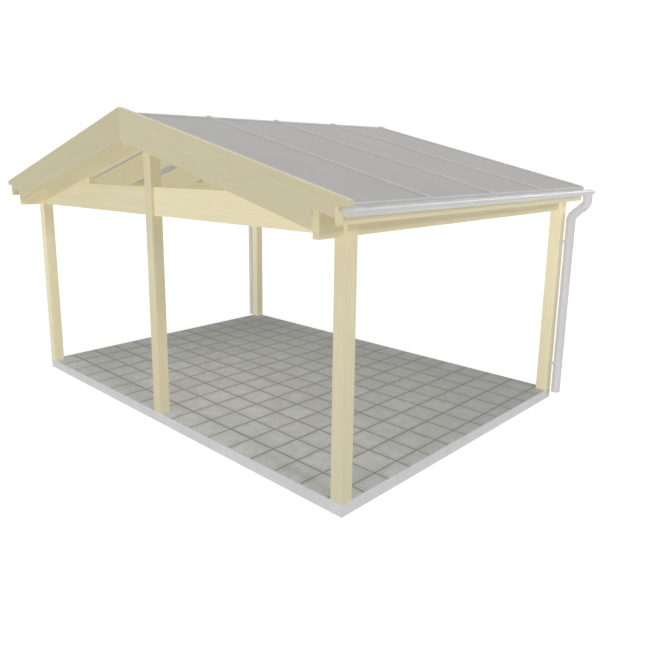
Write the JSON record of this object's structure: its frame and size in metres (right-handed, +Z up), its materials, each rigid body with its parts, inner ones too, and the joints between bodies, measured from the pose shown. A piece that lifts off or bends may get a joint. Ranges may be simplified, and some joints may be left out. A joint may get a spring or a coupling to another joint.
{
  "type": "sunroom frame",
  "caption": "Open gabled timber sunroom frame on a paved slab, with translucent roof panels, gutters and downpipes.",
  "frame": {"origin": "centre of the underside of the slab, on the ground", "axes": "+X to the right across the front gable, +Y from the front gable to the back, +Z up"},
  "size_m": [5.4314, 3.968, 3.0832],
  "materials": {
    "timber": "painted cream, satin",
    "slab": "smooth cast concrete",
    "paving": "concrete garden pavers",
    "panel": "opal multiwall sheet",
    "trim": "satin, light grey",
    "metal": "white coated steel"
  },
  "bodies": {
    "root": {"slab": "slab", "floor_tiles": "paving", "front_left_post": "timber", "front_right_post": "timber", "front_centre_post": "timber", "rear_left_post": "timber", "rear_right_post": "timber", "left_eave_beam": "timber", "right_eave_beam": "timber", "front_left_tie_beam": "timber", "front_right_tie_beam": "timber", "rear_tie_beam": "timber", "rear_king_post": "timber", "left_gable_wedge": "timber", "right_gable_wedge": "timber", "ridge_beam": "timber", "left_front_rafter": "timber", "right_front_rafter": "timber", "left_second_rafter": "timber", "right_second_rafter": "timber", "left_third_rafter": "timber", "right_third_rafter": "timber", "left_fourth_rafter": "timber", "right_fourth_rafter": "timber", "left_rear_rafter": "timber", "right_rear_rafter": "timber", "left_bargeboard": "timber", "right_bargeboard": "timber", "left_fascia": "timber", "right_fascia": "timber", "left_front_panel": "panel", "right_front_panel": "panel", "left_second_panel": "panel", "right_second_panel": "panel", "left_third_panel": "panel", "right_third_panel": "panel", "left_rear_panel": "panel", "right_rear_panel": "panel", "left_glazing_bars": "trim", "right_glazing_bars": "trim", "ridge_cap": "trim", "left_gutter": "metal", "right_gutter": "metal", "left_downpipe": "metal", "right_downpipe": "metal"}
  },
  "joints": []
}
